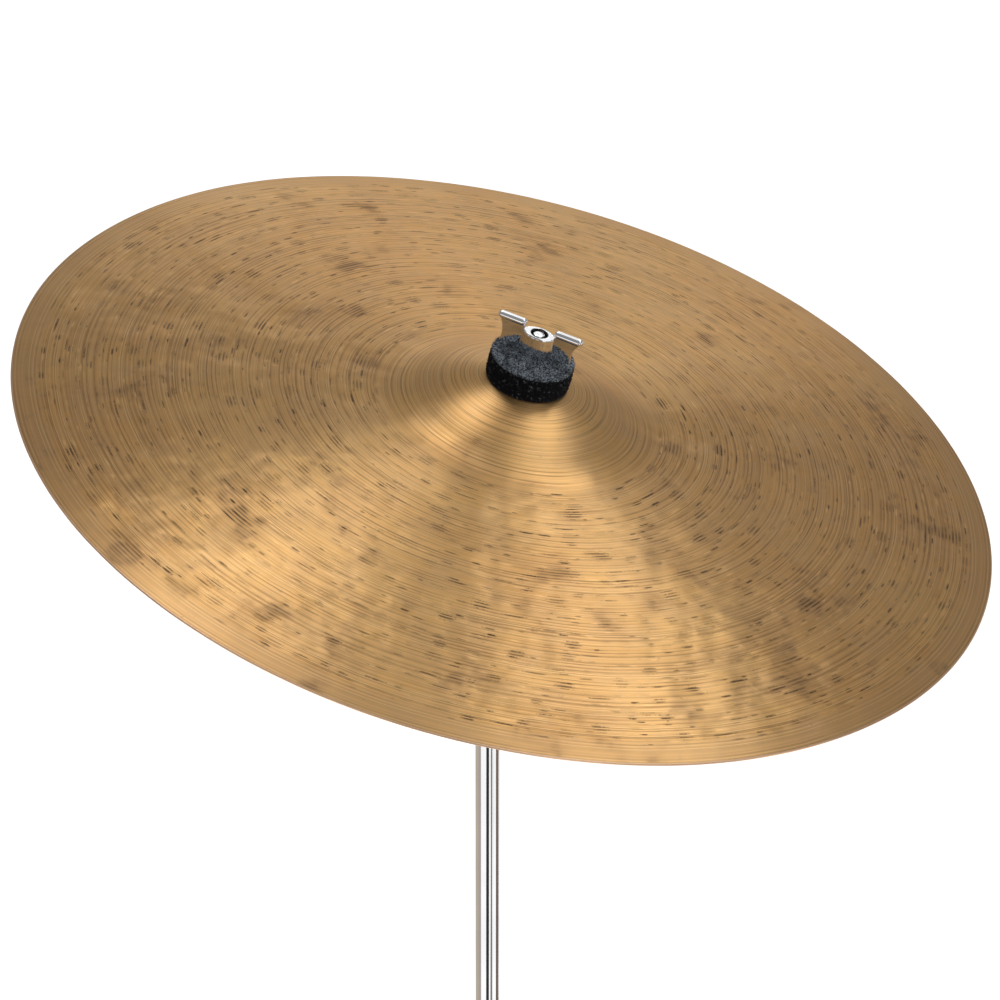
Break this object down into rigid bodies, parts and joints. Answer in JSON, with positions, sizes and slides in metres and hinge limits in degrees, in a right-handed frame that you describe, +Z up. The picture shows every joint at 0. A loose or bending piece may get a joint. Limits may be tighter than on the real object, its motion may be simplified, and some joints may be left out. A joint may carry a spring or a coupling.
{
  "type": "crash cymbal on stand",
  "caption": "Bronze crash cymbal clamped between felts by a wing nut on a light tilting, telescoping stand with a folding tripod.",
  "frame": {"origin": "the point of the floor on the stand's pole axis", "axes": "+Z up along the pole; +X along the tilter's hinge, to its wing nut; the cymbal leans towards -Y"},
  "size_m": [0.4571, 0.4671, 1.0163],
  "materials": {
    "bronze": "lathed and hammered",
    "chrome": "polished",
    "steel": "satin",
    "black_felt": "fibrous",
    "nylon": "matt",
    "clear_nylon": "matt",
    "black_rubber": "matt",
    "friction_fibre": "matt"
  },
  "bodies": {
    "base": {"base_tube": "chrome", "base_tube_plug": "nylon", "brace_hub": "chrome", "brace_hub_pin": "steel", "brace_hub_rivets": "steel", "lower_clamp": "chrome", "lower_clamp_bush": "nylon", "lower_clamp_bolt": "steel"},
    "lower_clamp_wing": {"lower_clamp_wing_nut": "chrome"},
    "mid": {"mid_tube": "chrome", "mid_tube_plug": "nylon", "lower_memory_lock": "chrome", "lower_lock_bolt": "steel", "upper_clamp": "chrome", "upper_clamp_bush": "nylon", "upper_clamp_bolt": "steel"},
    "upper_clamp_wing": {"upper_clamp_wing_nut": "chrome"},
    "upper_lock": {"upper_memory_lock": "chrome", "upper_lock_bolt": "steel"},
    "top": {"top_tube": "chrome", "top_tube_plug": "nylon", "tilter_base": "chrome", "tilter_base_pin": "steel", "tilter_disc": "friction_fibre", "tilter_bolt": "steel", "tilter_washer": "steel"},
    "tilter_wing": {"tilter_wing_nut": "chrome"},
    "head": {"tilter_head": "chrome", "cymbal_rod": "chrome", "rod_grub_screw": "steel"},
    "carrier": {"cymbal_sleeve": "nylon", "seat_washer": "steel", "cup_washer": "chrome", "lower_felt": "black_felt", "upper_felt": "black_felt"},
    "cymbal": {"cymbal": "bronze"},
    "nut": {"wing_nut": "chrome"},
    "collar": {"leg_collar": "chrome", "leg_collar_rivets": "steel"},
    "collar_wing": {"collar_wing_screw": "chrome"},
    "brace1": {"brace_1": "chrome"},
    "leg1": {"leg_1": "chrome", "brace_rivet_1": "steel", "leg_spacer_1": "steel", "rubber_foot_1": "black_rubber"},
    "brace2": {"brace_2": "chrome"},
    "leg2": {"leg_2": "chrome", "brace_rivet_2": "steel", "leg_spacer_2": "steel", "rubber_foot_2": "black_rubber"},
    "brace3": {"brace_3": "chrome"},
    "leg3": {"leg_3": "chrome", "brace_rivet_3": "steel", "leg_spacer_3": "steel", "rubber_foot_3": "black_rubber"}
  },
  "joints": [
    {"name": "cymbal_spin", "type": "hinge", "parent": "head", "child": "carrier", "pos_m": [0, -0.02653, 0.98206], "axis": [0, -0.3256, 0.9455], "continuous": true},
    {"name": "cymbal_rock", "type": "hinge", "parent": "carrier", "child": "cymbal", "pos_m": [0, -0.02653, 0.98206], "axis": [1, 0, 0], "range_deg": [-5, 5], "stiffness_Nm_per_rad": 8, "springref_deg": 0.88, "deforming": ["upper_felt", "lower_felt"]},
    {"name": "nut_turn", "type": "hinge", "parent": "head", "child": "nut", "pos_m": [0, -0.03093, 0.99482], "axis": [0, -0.3256, 0.9455], "range_deg": [0, 720]},
    {"name": "tilt", "type": "hinge", "parent": "top", "child": "head", "pos_m": [0, 0, 0.905], "axis": [1, 0, 0], "range_deg": [-34, 61]},
    {"name": "tilter_wing_turn", "type": "hinge", "parent": "top", "child": "tilter_wing", "pos_m": [0.02, 0, 0.905], "axis": [1, 0, 0], "range_deg": [0, 180]},
    {"name": "top_slide", "type": "slide", "parent": "mid", "child": "upper_lock", "axis": [0, 0, 1], "range_m": [0, 0.21]},
    {"name": "top_swivel", "type": "hinge", "parent": "upper_lock", "child": "top", "pos_m": [0, 0, 0.62], "axis": [0, 0, 1], "continuous": true},
    {"name": "upper_clamp_turn", "type": "hinge", "parent": "mid", "child": "upper_clamp_wing", "pos_m": [0.0202, 0.02, 0.593], "axis": [0, 1, 0], "range_deg": [0, 180]},
    {"name": "mid_slide", "type": "slide", "parent": "base", "child": "mid", "axis": [0, 0, 1], "range_m": [0, 0.24]},
    {"name": "lower_clamp_turn", "type": "hinge", "parent": "base", "child": "lower_clamp_wing", "pos_m": [0.0232, 0.02, 0.453], "axis": [0, 1, 0], "range_deg": [0, 180]},
    {"name": "brace_1_fold", "type": "hinge", "parent": "base", "child": "brace1", "pos_m": [0, 0.024, 0.03264], "axis": [1, 0, 0], "range_deg": [0, 42]},
    {"name": "leg_1_fold", "type": "hinge", "parent": "brace1", "child": "leg1", "pos_m": [0, 0.11168, 0.12032], "axis": [1, 0, 0], "range_deg": [-84, 0]},
    {"name": "brace_2_fold", "type": "hinge", "parent": "base", "child": "brace2", "pos_m": [-0.02078, -0.012, 0.03264], "axis": [-0.5, 0.866, 0], "range_deg": [0, 42]},
    {"name": "leg_2_fold", "type": "hinge", "parent": "brace2", "child": "leg2", "pos_m": [-0.09672, -0.05584, 0.12032], "axis": [-0.5, 0.866, 0], "range_deg": [-84, 0]},
    {"name": "brace_3_fold", "type": "hinge", "parent": "base", "child": "brace3", "pos_m": [0.02078, -0.012, 0.03264], "axis": [-0.5, -0.866, 0], "range_deg": [0, 42]},
    {"name": "leg_3_fold", "type": "hinge", "parent": "brace3", "child": "leg3", "pos_m": [0.09672, -0.05584, 0.12032], "axis": [-0.5, -0.866, 0], "range_deg": [-84, 0]},
    {"name": "collar_upright", "type": "hinge", "parent": "leg1", "child": "collar", "pos_m": [0, 0.024, 0.208], "axis": [1, 0, 0], "range_deg": [0, 42]},
    {"name": "collar_screw_turn", "type": "hinge", "parent": "collar", "child": "collar_wing", "pos_m": [0, -0.0241, 0.208], "axis": [0, -1, 0], "range_deg": [0, 180]}
  ],
  "couplings": [
    {"joint": "leg_1_fold", "follows": "brace_1_fold", "ratio": -2},
    {"joint": "brace_2_fold", "follows": "brace_1_fold", "ratio": 1},
    {"joint": "leg_2_fold", "follows": "brace_1_fold", "ratio": -2},
    {"joint": "brace_3_fold", "follows": "brace_1_fold", "ratio": 1},
    {"joint": "leg_3_fold", "follows": "brace_1_fold", "ratio": -2},
    {"joint": "collar_upright", "follows": "brace_1_fold", "ratio": 1}
  ]
}
